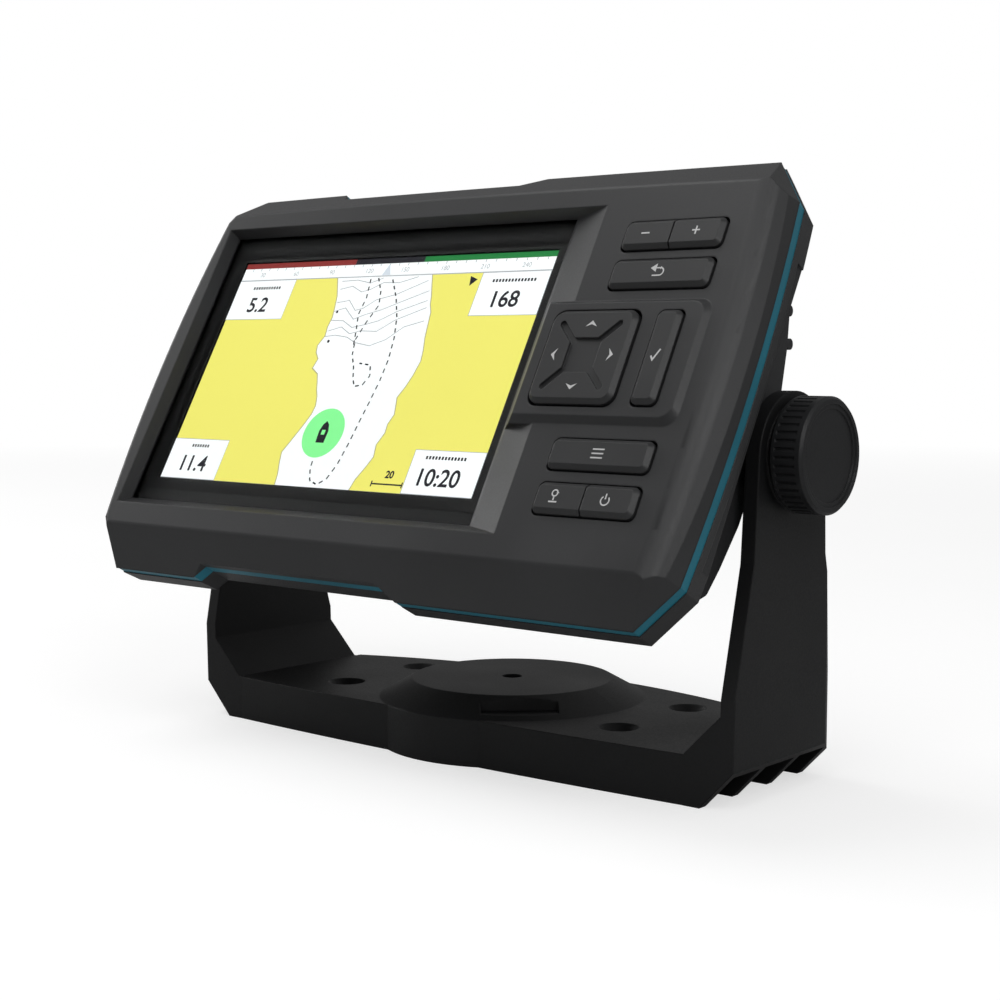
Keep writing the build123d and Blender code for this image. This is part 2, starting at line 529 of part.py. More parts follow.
with BuildPart() as pad_actuator:
    # Keel that it rocks on from side to side, and ridge that the pad rocks on up and down.
    with BuildSketch(FROM_BELOW.offset(-PAD_V)) as keel:
        with Locations((PAD_U, ROCK_W)):
            Circle(KEEL_R)
    extrude(keel.sketch, amount=ACTUATOR_WIDTH / 2, both=True)
    slab(ROCK_W, ROCK_W + 2, PAD_U, PAD_V, ACTUATOR_LENGTH, ACTUATOR_WIDTH + 1, mode=Mode.SUBTRACT)
    slab(ACTUATOR_BOTTOM, ACTUATOR_TOP, PAD_U, PAD_V, ACTUATOR_LENGTH, ACTUATOR_WIDTH, 1.5)
    rock_ridge(RIDGE_R, RIDGE_LENGTH)
    for u, v in PAD_SIDES:
        rod(PAD_TIP, ACTUATOR_BOTTOM, u, v, PLUNGER_R)
save(pad_actuator, "pad_actuator")

with BuildPart() as key_mat:
    slab(KEY_BOARD_FRONT, MAT_FRONT, MAT_U, MAT_V, MAT_W, MAT_H, 1.0)
    slab(KEY_BOARD_FRONT, MAT_BACK, MAT_U, MAT_V, MAT_W - 2 * MAT_RAIL, MAT_H + 2, mode=Mode.SUBTRACT)
    for u, v in PLUNGERS + PAD_SIDES + PAD_ENDS:
        rod(MAT_BACK, MAT_FRONT, u, v, PLUNGER_HOLE_R, Mode.SUBTRACT)
save(key_mat, "key_mat")

with BuildPart() as key_board:
    board_u = (KEY_BOARD_LEFT + KEY_BOARD_RIGHT) / 2
    board_v = (KEY_BOARD_TOP + KEY_BOARD_BOTTOM) / 2
    board_size = (KEY_BOARD_RIGHT - KEY_BOARD_LEFT, KEY_BOARD_TOP - KEY_BOARD_BOTTOM)
    slab(KEY_BOARD_BACK, KEY_BOARD_FRONT, board_u, board_v, *board_size)
    for u, v in KEY_POSTS:
        rod(KEY_BOARD_BACK, KEY_BOARD_FRONT, u, v, KEY_SCREW_R + SCREW_FIT, Mode.SUBTRACT)
save(key_board, "key_board")

with BuildPart() as key_domes:
    for u, v in PLUNGERS + PAD_SIDES + PAD_ENDS:
        rod(KEY_BOARD_FRONT, DOME_STEP, u, v, DOME_FOOT_R)
        rod(DOME_STEP, DOME_TOP, u, v, DOME_CROWN_R)
save(key_domes, "key_domes")

# ---- Boards and what they carry ----
with BuildPart() as main_board:
    slab(BOARD_BACK, BOARD_FRONT, 0, 0, BOARD_W, BOARD_H, BOARD_ROUND)
    for u, v, _ in post_places():
        rod(BOARD_BACK, BOARD_FRONT, u, v, SCREW_R + SCREW_FIT, Mode.SUBTRACT)
save(main_board, "main_board")

with BuildPart() as board_chips:
    for u, v, size, tall in ((-16, 2, 14.0, 1.6), (4, 6, 9.0, 1.2), (3, -8, 10.0, 1.2)):
        slab(BOARD_BACK - tall, BOARD_BACK, u, v, size, size)
save(board_chips, "board_chips")

with BuildPart() as shield_can:
    slab(BOARD_BACK - 4.0, BOARD_BACK, -6, 0, 44, 30, 1.0)
    slab(BOARD_BACK - 3.6, BOARD_BACK, -6, 0, 43.2, 29.2, 0.8, Mode.SUBTRACT)
save(shield_can, "shield_can")

with BuildPart() as gps_antenna:
    slab(BOARD_BACK - 4.5, BOARD_BACK, 42, 20, 25, 25)
    rod(BOARD_BACK - 5.0, BOARD_BACK - 4.5, 42, 20, 1.6)
save(gps_antenna, "gps_antenna")

with BuildPart() as capacitors:
    for u in (-64.0, -53.0, -42.0):
        rod(BOARD_BACK - 10.0, BOARD_BACK, u, -16, 4.0)
save(capacitors, "capacitors")

with BuildPart() as beeper:
    rod(BOARD_BACK - 6.0, BOARD_BACK, -50, 18, 6.0)
    rod(BOARD_BACK - 6.0, BOARD_BACK - 5.0, -50, 18, 1.0, Mode.SUBTRACT)
save(beeper, "beeper")

with BuildPart() as lcd_ribbon:
    ribbon(PICTURE_U, 20.0, -18.0, LIGHT_BACK - PAN_WALL, -32.0, BOARD_FRONT)
save(lcd_ribbon, "lcd_ribbon")

with BuildPart() as key_ribbon:
    ribbon(52.0, 12.0, -12.0, KEY_BOARD_BACK, -24.0, BOARD_FRONT)
save(key_ribbon, "key_ribbon")

with BuildPart() as socket_ribbon:
    ribbon(SOCKET_U, 9.0, 4.0, BOARD_BACK, -5.0, SOCKET_INNER + 1.0)
save(socket_ribbon, "socket_ribbon")

# ---- Socket and vent in the back wall ----
with BuildPart() as socket_shell:
    rod(SOCKET_BACK, SOCKET_INNER, SOCKET_U, SOCKET_V, SOCKET_R)
    rod(BACK_LEVEL - 1.6, BACK_LEVEL, SOCKET_U, SOCKET_V, SOCKET_FLANGE_R)
    rod(SOCKET_BACK, BACK_LEVEL + 3.0, SOCKET_U, SOCKET_V, SOCKET_R - SOCKET_WALL, Mode.SUBTRACT)
    slab(SOCKET_BACK, BACK_LEVEL, SOCKET_U, SOCKET_V + SOCKET_R - SOCKET_WALL, 2.4, 1.6)
    for index in range(8):
        turn = radians(45 * index)
        place = (SOCKET_U + PIN_CIRCLE * cos(turn), SOCKET_V + PIN_CIRCLE * sin(turn))
        rod(BACK_LEVEL, SOCKET_INNER, *place, PIN_R, Mode.SUBTRACT)
save(socket_shell, "socket_shell")

with BuildPart() as socket_pins:
    for index in range(8):
        turn = radians(45 * index)
        place = (SOCKET_U + PIN_CIRCLE * cos(turn), SOCKET_V + PIN_CIRCLE * sin(turn))
        rod(SOCKET_BACK + 1.5, SOCKET_INNER + 1.0, *place, PIN_R)
save(socket_pins, "socket_pins")

with BuildPart() as socket_nut:
    inner_wall = BACK_LEVEL + BACK_WALL
    with BuildSketch(level(inner_wall)) as hexagon:
        with Locations((SOCKET_U, SOCKET_V)):
            RegularPolygon(NUT_ACROSS / 2, 6, major_radius=False)
            Circle(SOCKET_R, mode=Mode.SUBTRACT)
    extrude(hexagon.sketch, amount=NUT_THICK)
save(socket_nut, "socket_nut")

with BuildPart() as vent_plug:
    rod(BACK_LEVEL - 0.8, BACK_LEVEL, VENT_U, VENT_V, VENT_R + 1.5)
    rod(BACK_LEVEL, BACK_LEVEL + BACK_WALL, VENT_U, VENT_V, VENT_R)
    rod(BACK_LEVEL - 0.8, BACK_LEVEL - 0.4, VENT_U, VENT_V, 2.0, Mode.SUBTRACT)
save(vent_plug, "vent_plug")


# ---- Pivot hardware, one set on each side ----
def pivot_insert(side, name):
    """Threaded brass insert in the housing's boss."""
    with BuildPart() as insert:
        pivot_rod(side, INSERT_START, INSERT_END, INSERT_R)
        pivot_rod(side, INSERT_START, INSERT_END, STUD_R + RUNNING_GAP, Mode.SUBTRACT)
    save(insert, name)


def friction_washer(side, name):
    """Washer between the boss and the arm."""
    with BuildPart() as washer:
        pivot_rod(side, BOSS_END, WASHER_END, WASHER_R)
        pivot_rod(side, BOSS_END, WASHER_END, STUD_R + 0.3, Mode.SUBTRACT)
    save(washer, name)


def thrust_washer(side, name):
    """Washer between the arm and the knob."""
    with BuildPart() as washer:
        pivot_rod(side, THRUST_START, THRUST_END, PAD_R - 1)
        pivot_rod(side, THRUST_START, THRUST_END, SHOULDER_R + RUNNING_GAP, Mode.SUBTRACT)
    save(washer, name)


def knob_stud(side, name):
    """Shouldered stud with the flatted head that the knob is moulded round."""
    with BuildPart() as stud:
        pivot_rod(side, STUD_START, SHOULDER_START, STUD_R)
        pivot_rod(side, SHOULDER_START, STUD_HEAD_START, SHOULDER_R)
        pivot_rod(side, STUD_HEAD_START, STUD_HEAD_END, STUD_HEAD_R)
    save(stud, name)


def knob(side, name):
    """Clamp knob with fine grooves round its barrel and a sunk outer face."""
    with BuildPart() as body:
        pivot_rod(side, KNOB_START, KNOB_END, KNOB_R)
        chamfer(body.edges().filter_by(GeomType.CIRCLE), 0.6)
        place = Plane(
            origin=(side * (KNOB_START + 1.4), PIVOT_Y, PIVOT_Z), x_dir=(0, 1, 0), z_dir=(side, 0, 0)
        )
        with BuildSketch(place) as grooves:
            with PolarLocations(KNOB_R, KNOB_GROOVES):
                Circle(GROOVE_R)
        extrude(grooves.sketch, amount=KNOB_END - KNOB_START - 3.2, mode=Mode.SUBTRACT)
        pivot_rod(side, KNOB_END - 0.3, KNOB_END, KNOB_RING_R, Mode.SUBTRACT)
        pivot_rod(side, KNOB_END - 0.6, KNOB_END, KNOB_FACE_R, Mode.SUBTRACT)
        pivot_rod(side, KNOB_START, STUD_HEAD_START, SHOULDER_R, Mode.SUBTRACT)
        pivot_rod(side, STUD_HEAD_START, STUD_HEAD_END, STUD_HEAD_R, Mode.SUBTRACT)
    save(body, name)


for pivot_side, word in ((1, "right"), (-1, "left")):
    pivot_insert(pivot_side, f"pivot_insert_{word}")
    friction_washer(pivot_side, f"friction_washer_{word}")
    thrust_washer(pivot_side, f"thrust_washer_{word}")
    knob_stud(pivot_side, f"knob_stud_{word}")
    knob(pivot_side, f"knob_{word}")


# ---- Bail bracket ----
def plate_outline(inset):
    """Plan of the foot: a bowed front edge and a bulging rear edge, moved inwards by the inset."""
    x, y = BULGE_START
    with BuildSketch(Plane.XY) as drawing:
        with BuildLine():
            ThreePointArc((-x, inset - ARM_FOOT), (0, FRONT_BOW + inset), (x, inset - ARM_FOOT))
            Polyline((x, inset - ARM_FOOT), (95, inset - ARM_FOOT), (95, ARM_FOOT - inset))
            Polyline((95, ARM_FOOT - inset), (x, ARM_FOOT - inset), (x, y - inset))
            ThreePointArc((x, y - inset), (0, REAR_BULGE - inset), (-x, y - inset))
            Polyline((-x, y - inset), (-x, ARM_FOOT - inset), (-95, ARM_FOOT - inset))
            Polyline((-95, ARM_FOOT - inset), (-95, inset - ARM_FOOT), (-x, inset - ARM_FOOT))
        make_face()
    return drawing.sketch


with BuildPart() as bail_bracket:
    # The U seen from the front.
    with BuildSketch(Plane.XZ) as section:
        with BuildLine():
            Polyline(
                (0, 0),
                (FOOT_HALF, 0),
                FOOT_CORNER,
                (ARM_OUT_TOP, ARM_TOP_Z),
                (ARM_IN_TOP, ARM_TOP_Z),
                INNER_CORNER_HIGH,
                INNER_CORNER_LOW,
                (0, PLATE_TOP),
                close=True,
            )
        make_face()
        mirror(about=Plane.YZ)
    extrude(section.sketch, amount=60, both=True)
    # The same from the side: a wide foot with narrow round-topped arms.
    with BuildSketch(Plane.YZ) as profile:
        with BuildLine():
            Polyline(
                (60, 0),
                (60, PLATE_TOP),
                (ARM_FOOT, PLATE_TOP),
                (ARM_FOOT, ARM_KNEE_Z),
                (ARM_BEND_REAR, ARM_BEND_Z),
                (PIVOT_Y + ARM_ROUND, PIVOT_Z),
            )
            ThreePointArc(
                (PIVOT_Y + ARM_ROUND, PIVOT_Z),
                (PIVOT_Y, PIVOT_Z + ARM_ROUND),
                (PIVOT_Y - ARM_ROUND, PIVOT_Z),
            )
            Polyline(
                (PIVOT_Y - ARM_ROUND, PIVOT_Z),
                (ARM_BEND_FRONT, ARM_BEND_Z),
                (-ARM_FOOT, ARM_KNEE_Z),
                (-ARM_FOOT, PLATE_TOP),
                (-60, PLATE_TOP),
                (-60, 0),
                (60, 0),
            )
        make_face()
    extrude(profile.sketch, amount=100, both=True, mode=Mode.INTERSECT)
    extrude(plate_outline(0), amount=100, mode=Mode.INTERSECT)
    # Dome.
    with Locations((0, DOME_Y, 0)):
        Cylinder(DOME_LOW_R, PLATE_TOP, align=(Align.CENTER, Align.CENTER, Align.MIN))
    with Locations((0, DOME_Y, PLATE_TOP)):
        Cone(DOME_LOW_R, DOME_HIGH_R, DOME_HEIGHT, align=(Align.CENTER, Align.CENTER, Align.MIN))
    for turn in (POCKET_TURN, POCKET_TURN + 180):
        with Locations(Location((0, DOME_Y, POCKET_FLOOR), (0, 0, turn))):
            with Locations((DOME_LOW_R - 3, 0, 0)):
                Box(9, POCKET_W, 10, align=(Align.CENTER, Align.CENTER, Align.MIN), mode=Mode.SUBTRACT)
    # Hollow underside with walls round it and ribs across it.
    for low, high in CHANNELS:
        with Locations((0, (low + high) / 2, 0)):
            Box(180, high - low, 2 * CHANNEL_TOP, mode=Mode.SUBTRACT)
    with BuildSketch(Plane.XY) as rear_channel:
        add(plate_outline(REAR_WALL))
        with Locations((0, REAR_CHANNEL_START - 50)):
            Rectangle(200, 100, mode=Mode.SUBTRACT)
    extrude(rear_channel.sketch, amount=CHANNEL_TOP, mode=Mode.SUBTRACT)
    with Locations((0, DOME_Y, CHANNEL_TOP)):
        hollow = DOME_HOLLOW_TOP - CHANNEL_TOP
        Cylinder(
            DOME_HOLLOW_R, hollow, align=(Align.CENTER, Align.CENTER, Align.MIN), mode=Mode.SUBTRACT
        )
    with Locations((0, 6, CHANNEL_TOP / 2)):
        Box(CROSS_RIB, 62, CHANNEL_TOP)
    # Screw holes in their tubes.
    with Locations((0, HOLE_Y, 0)):
        with GridLocations(2 * HOLE_X, 2 * HOLE_Y_HALF, 2, 2):
            Cylinder(TUBE_R, PLATE_TOP - 1, align=(Align.CENTER, Align.CENTER, Align.MIN))
    with Locations((0, HOLE_Y, PLATE_TOP)):
        with GridLocations(2 * HOLE_X, 2 * HOLE_Y_HALF, 2, 2):
            CounterSinkHole(HOLE_R, COUNTERSINK_R, depth=PLATE_TOP)
    with Locations((0, DOME_Y, PLATE_TOP + DOME_HEIGHT)):
        Hole(DIMPLE_R, depth=DIMPLE_DEPTH)
    # The legs' rear outer corners are cut off.
    with BuildSketch(Plane.XY) as leg_corner:
        with BuildLine():
            Polyline(*LEG_CORNER, close=True)
        make_face()
        mirror(about=Plane.YZ)
    extrude(leg_corner.sketch, amount=LEG_CUT_TOP, mode=Mode.SUBTRACT)
    # Bearing pads and stud holes at the top of the arms.
    for side in (1, -1):
        pivot_rod(side, ARM_PAD_IN, ARM_PAD_OUT, PAD_R)
        pivot_rod(side, ARM_PAD_IN - 2, ARM_PAD_OUT + 2, SHOULDER_R + RUNNING_GAP, Mode.SUBTRACT)
save(bail_bracket, "bail_bracket")
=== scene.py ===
import json
from math import cos, pi, radians, sin

import bpy
from mathutils import Matrix, Vector
from mathutils.geometry import tessellate_polygon


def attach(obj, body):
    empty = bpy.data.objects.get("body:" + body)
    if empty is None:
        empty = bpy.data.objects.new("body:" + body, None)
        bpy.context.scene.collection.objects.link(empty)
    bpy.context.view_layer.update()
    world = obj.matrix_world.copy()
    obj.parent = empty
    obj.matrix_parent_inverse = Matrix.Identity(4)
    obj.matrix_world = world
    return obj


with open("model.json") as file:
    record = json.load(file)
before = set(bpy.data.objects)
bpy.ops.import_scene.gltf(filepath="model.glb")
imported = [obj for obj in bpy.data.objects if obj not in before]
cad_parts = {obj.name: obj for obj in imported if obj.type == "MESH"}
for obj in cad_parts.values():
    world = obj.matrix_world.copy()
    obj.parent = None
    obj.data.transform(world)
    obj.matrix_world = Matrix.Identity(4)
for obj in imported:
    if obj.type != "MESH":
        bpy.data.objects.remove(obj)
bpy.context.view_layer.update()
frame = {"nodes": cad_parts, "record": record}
nodes = frame["nodes"]

# ---- Frame of the screen: u to the right, v up the screen, w out of it, in millimetres ----
TILT = radians(29.3)
UP = Vector((0, sin(TILT), cos(TILT)))
OUT = Vector((0, -cos(TILT), sin(TILT)))
PIVOT = Vector((0, -1.3, 77.4))
PIVOT_TO_CENTRE, PIVOT_TO_FACE = 2.5, 33.0
ORIGIN = PIVOT + UP * PIVOT_TO_CENTRE + OUT * PIVOT_TO_FACE


def at(u, v, w):
    """A point of the screen's frame, in metres."""
    return (ORIGIN + Vector((u, 0, 0)) + UP * v + OUT * w) / 1000


# ---- Materials ----
class Nodes:
    """A short way to build a node material."""

    def __init__(self, name):
        self.material = bpy.data.materials.new(name)
        self.material.use_nodes = True
        self.tree = self.material.node_tree
        self.tree.nodes.clear()
        self.shader = self.add("ShaderNodeBsdfPrincipled")
        self.output = self.add("ShaderNodeOutputMaterial")
        self.link(self.shader.outputs["BSDF"], self.output.inputs["Surface"])

    def add(self, kind, inputs=None, **settings):
        node = self.tree.nodes.new(kind)
        for key, value in settings.items():
            setattr(node, key, value)
        for key, value in (inputs or {}).items():
            if hasattr(value, "is_output"):
                self.link(value, node.inputs[key])
            else:
                node.inputs[key].default_value = value
        return node

    def link(self, a, b):
        self.tree.links.new(a, b)

    def set(self, **values):
        for key, value in values.items():
            socket = self.shader.inputs[key.replace("_", " ")]
            if hasattr(value, "is_output"):
                self.link(value, socket)
            else:
                socket.default_value = value

    def noise(self, scale, detail=3.0, roughness=0.5):
        place = self.add("ShaderNodeTexCoord")
        inputs = {"Vector": place.outputs["Object"], "Scale": scale, "Detail": detail, "Roughness": roughness}
        return self.add("ShaderNodeTexNoise", inputs).outputs["Fac"]

    def ramp(self, value, low, high, to_low, to_high):
        inputs = {"Value": value, "From Min": low, "From Max": high, "To Min": to_low, "To Max": to_high}
        return self.add("ShaderNodeMapRange", inputs).outputs["Result"]

    def blend(self, factor, a, b):
        node = self.add("ShaderNodeMix", data_type="RGBA")
        for socket, value in ((node.inputs[0], factor), (node.inputs[6], a), (node.inputs[7], b)):
            if hasattr(value, "is_output"):
                self.link(value, socket)
            else:
                socket.default_value = value
        return node.outputs[2]

    def edges(self, radius):
        """Rounded-edge normal and a mask that is 1 along sharp edges."""
        soft = self.add("ShaderNodeBevel", {"Radius": radius}, samples=4)
        flat = self.add("ShaderNodeNewGeometry")
        dot = self.add("ShaderNodeVectorMath", operation="DOT_PRODUCT")
        self.link(soft.outputs["Normal"], dot.inputs[0])
        self.link(flat.outputs["Normal"], dot.inputs[1])
        return soft.outputs["Normal"], self.ramp(dot.outputs["Value"], 0.97, 0.80, 0.0, 1.0)


def rgb(r, g, b):
    return (r, g, b, 1.0)


def plastic(name, colour, rough=0.5, grain=0.00035, depth=0.25, edge=0.0004, wear=0.35, specular=0.45):
    """Moulded plastic: fine spark-eroded grain, uneven sheen and slightly paler edges."""
    m = Nodes(name)
    normal, mask = m.edges(edge)
    cloud = m.noise(28.0, 4.0)
    speck = m.noise(1.0 / grain, 2.0, 0.6)
    scuff = m.noise(420.0, 5.0, 0.65)
    pale = rgb(*[min(1.0, c * 1.9 + 0.012) for c in colour])
    dark, light = (rgb(*[c * share for c in colour]) for share in (0.88, 1.12))
    base = m.blend(m.ramp(cloud, 0.35, 0.65, 0.0, 1.0), dark, light)
    worn = m.add("ShaderNodeMath", {0: mask, 1: m.ramp(scuff, 0.35, 0.7, 0.0, wear)}, operation="MULTIPLY")
    base = m.blend(worn.outputs[0], base, pale)
    sheen = m.add("ShaderNodeMath", {0: m.ramp(speck, 0.3, 0.7, -0.05, 0.05)}, operation="ADD")
    m.link(m.ramp(cloud, 0.3, 0.7, rough - 0.05, rough + 0.05), sheen.inputs[1])
    bump = m.add("ShaderNodeBump", {"Strength": depth, "Distance": 0.00006, "Height": speck})
    m.link(normal, bump.inputs["Normal"])
    m.set(Base_Color=base, Roughness=sheen.outputs[0], Normal=bump.outputs["Normal"])
    m.set(**{"Specular IOR Level": specular})
    return m.material


def metal(name, colour, rough=0.3, stretch=60.0):
    """Turned or drawn metal with fine streaks."""
    m = Nodes(name)
    place = m.add("ShaderNodeTexCoord")
    scaled = m.add("ShaderNodeMapping", {"Vector": place.outputs["Object"], "Scale": (4000, stretch, 4000)})
    streak = m.add("ShaderNodeTexNoise", {"Vector": scaled.outputs["Vector"], "Scale": 1.0, "Detail": 2.0})
    fac = streak.outputs["Fac"]
    base = m.blend(fac, rgb(*[c * 0.85 for c in colour]), rgb(*colour))
    bump = m.add("ShaderNodeBump", {"Strength": 0.15, "Distance": 0.00003, "Height": fac})
    m.set(Base_Color=base, Metallic=1.0, Roughness=m.ramp(fac, 0.3, 0.7, rough - 0.06, rough + 0.08))
    m.set(Normal=bump.outputs["Normal"])
    return m.material


def lit(name, colour, strength=1.07):
    """One colour of the lit picture, with the panel's pixel rows and a slightly uneven backlight."""
    m = Nodes(name)
    place = m.add("ShaderNodeTexCoord")
    rows = {"Vector": place.outputs["Object"], "Scale": 1150.0}
    wave = m.add("ShaderNodeTexWave", rows, bands_direction="X")
    glow = m.noise(9.0, 1.0)
    fine = m.ramp(wave.outputs["Fac"], 0.0, 1.0, 0.96, 1.0)
    slow = m.ramp(glow, 0.3, 0.7, 0.95, 1.03)
    both = m.add("ShaderNodeMath", {0: fine, 1: slow}, operation="MULTIPLY")
    shade = m.add("ShaderNodeVectorMath", {0: colour}, operation="SCALE")
    m.link(both.outputs[0], shade.inputs["Scale"])
    m.set(Base_Color=rgb(*[c * 0.15 for c in colour]), Roughness=0.6)
    m.set(**{"Emission Color": shade.outputs["Vector"], "Emission Strength": strength})
    m.set(**{"Specular IOR Level": 0.1})
    return m.material


def printed(name, colour, rough=0.45):
    """Pad-printed ink with a faint mottle."""
    m = Nodes(name)
    speck = m.noise(2600.0, 3.0)
    base = m.blend(m.ramp(speck, 0.3, 0.7, 0.0, 1.0), rgb(*[c * 0.9 for c in colour]), rgb(*colour))
    bump = m.add("ShaderNodeBump", {"Strength": 0.1, "Distance": 0.00002, "Height": speck})
    m.set(Base_Color=base, Roughness=m.ramp(speck, 0.3, 0.7, rough - 0.06, rough + 0.06))
    m.set(Normal=bump.outputs["Normal"])
    return m.material


def glass(name):
    """Clear cover glass with faint smears in its gloss."""
    m = Nodes(name)
    smear = m.noise(45.0, 4.0)
    m.set(Base_Color=rgb(0.97, 0.98, 0.98), IOR=1.06, Transmission_Weight=1.0)
    m.set(Roughness=m.ramp(smear, 0.4, 0.7, 0.01, 0.035))
    return m.material


MATERIALS = {
    "bracket_plastic": plastic(
        "bracket_plastic", (0.008, 0.0082, 0.0088), 0.52, 0.00045, 0.3, 0.0006, specular=0.32),
    "knob_plastic": plastic(
        "knob_plastic", (0.015, 0.0155, 0.0165), 0.45, 0.0004, 0.2, 0.0003, specular=0.35),
    "shell_plastic": plastic("shell_plastic", (0.024, 0.0245, 0.0258), 0.46, 0.00035, 0.25, 0.0005),
    "key_plastic": plastic("key_plastic", (0.024, 0.0245, 0.0255), 0.46, 0.0003, 0.2, 0.0003),
    "trim_teal": plastic("trim_teal", (0.012, 0.17, 0.24), 0.4, 0.0004, 0.1, 0.0002, 0.2, 0.4),
    "lens_glass": glass("lens_glass"),
    "black_foam": printed("black_foam", (0.002, 0.002, 0.0022), 0.5),
    "lcd_glass": printed("lcd_glass", (0.02, 0.022, 0.025), 0.2),
    "white_plastic": printed("white_plastic", (0.75, 0.75, 0.75)),
    "steel": metal("steel", (0.6, 0.6, 0.61)),
    "seal_rubber": plastic("seal_rubber", (0.02, 0.02, 0.02), 0.7, 0.0005, 0.3),
    "circuit_board": printed("circuit_board", (0.01, 0.13, 0.05), 0.3),
    "chip_black": plastic("chip_black", (0.015, 0.015, 0.016), 0.4, 0.0002, 0.3, 0.0002),
    "ceramic_tan": printed("ceramic_tan", (0.42, 0.33, 0.22), 0.6),
    "aluminium_can": metal("aluminium_can", (0.75, 0.75, 0.77), 0.25),
    "flex_amber": printed("flex_amber", (0.42, 0.15, 0.02), 0.25),
    "socket_plastic": plastic("socket_plastic", (0.012, 0.012, 0.013), 0.4, 0.0004, 0.2, 0.0003),
    "gold_pins": metal("gold_pins", (0.85, 0.6, 0.22), 0.2),
    "washer_plastic": plastic("washer_plastic", (0.03, 0.03, 0.031), 0.35, 0.0003, 0.1, 0.0002),
    "brass_insert": metal("brass_insert", (0.72, 0.5, 0.2), 0.3),
}
for part in frame["record"]["subparts"]:
    nodes[part["node"]].data.materials.clear()
    nodes[part["node"]].data.materials.append(MATERIALS[part["material_slot"]])


# ---- Flat pieces: printed marks and the layers of the picture ----
def add_piece(name, mesh, material, body):
    """Put a mesh of one material in the scene, riding on a body."""
    mesh.materials.clear()
    mesh.materials.append(material)
    piece = bpy.data.objects.new(name, mesh)
    bpy.context.scene.collection.objects.link(piece)
    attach(piece, body)


def flat(name, outlines, level, material, body, slot):
    """A flat piece of one or more outlines, lists of (u, v), at one level of the display."""
    mesh = bpy.data.meshes.new(name)
    points, faces = [], []
    for outline in outlines:
        first = len(points)
        points += [at(u, v, level) for u, v in outline]
        corners = [Vector((u, v, 0)) for u, v in outline]
        for a, b, c in tessellate_polygon([corners]):
            p, q, r = corners[a], corners[b], corners[c]
            turn = (q - p).cross(r - p).z
            faces.append((first + a, first + b, first + c) if turn > 0 else (first + a, first + c, first + b))
    mesh.from_pydata(points, [], faces)
    add_piece(name, mesh, material, body)


def stroke(points, width, closed=False):
    """Outlines of the quads that make a line of one width through the points."""
    path = [Vector(p) for p in points]
    count = len(path)
    sides = []
    for i, here in enumerate(path):
        before = path[i - 1] if i or closed else None
        after = path[(i + 1) % count] if i < count - 1 or closed else None
        a = (here - before).normalized() if before is not None else None
        b = (after - here).normalized() if after is not None else None
        a, b = a or b, b or a
        across = Vector((-(a + b).y, (a + b).x)).normalized()
        reach = width / 2 / max(0.35, across.dot(Vector((-a.y, a.x))))
        sides.append((here + across * reach, here - across * reach))
    last = count if closed else count - 1
    quads = []
    for i in range(last):
        (a, b), (c, d) = sides[i], sides[(i + 1) % count]
        quads.append([tuple(b), tuple(d), tuple(c), tuple(a)])
    return quads


def dashes(points, width, on, off):
    """A dashed line through the points."""
    out, travelled = [], 0.0
    for a, b in zip(points, points[1:]):
        a, b = Vector(a), Vector(b)
        length = (b - a).length
        step = (b - a) / length
        start = -travelled
        while start < length:
            low, high = max(0.0, start), min(length, start + on)
            if high - low > 0.15:
                out += stroke([tuple(a + step * low), tuple(a + step * high)], width)
            start += on + off
        travelled = (travelled + length) % (on + off)
    return out


def ring(u, v, radius, start=0.0, end=360.0, count=40):
    """Points along an arc, with angles in degrees."""
    steps = count if end - start < 360 else count - 1
    return [
        (u + radius * cos(radians(start + (end - start) * i / steps)),
         v + radius * sin(radians(start + (end - start) * i / steps)))
        for i in range(count)
    ]


def disc(u, v, radius, count=64):
    angles = [2 * pi * i / count for i in range(count)]
    return [(u + radius * cos(angle), v + radius * sin(angle)) for angle in angles]


def box(u0, v0, u1, v1):
    return [(u0, v0), (u1, v0), (u1, v1), (u0, v1)]


def digits(name, text, u, v, size, level, material, body, bold=0.0):
    """Numerals as a flat mesh, centred on (u, v)."""
    curve = bpy.data.curves.new(name + "_curve", "FONT")
    curve.body = text
    curve.align_x = "CENTER"
    curve.align_y = "CENTER"
    curve.size = size
    curve.offset = bold
    holder = bpy.data.objects.new(name + "_holder", curve)
    bpy.context.scene.collection.objects.link(holder)
    bpy.context.view_layer.update()
    mesh = bpy.data.meshes.new_from_object(holder.evaluated_get(bpy.context.evaluated_depsgraph_get()))
    bpy.data.objects.remove(holder)
    for vertex in mesh.vertices:
        vertex.co = at(u + vertex.co.x, v + vertex.co.y, level)
    add_piece(name, mesh, material, body)


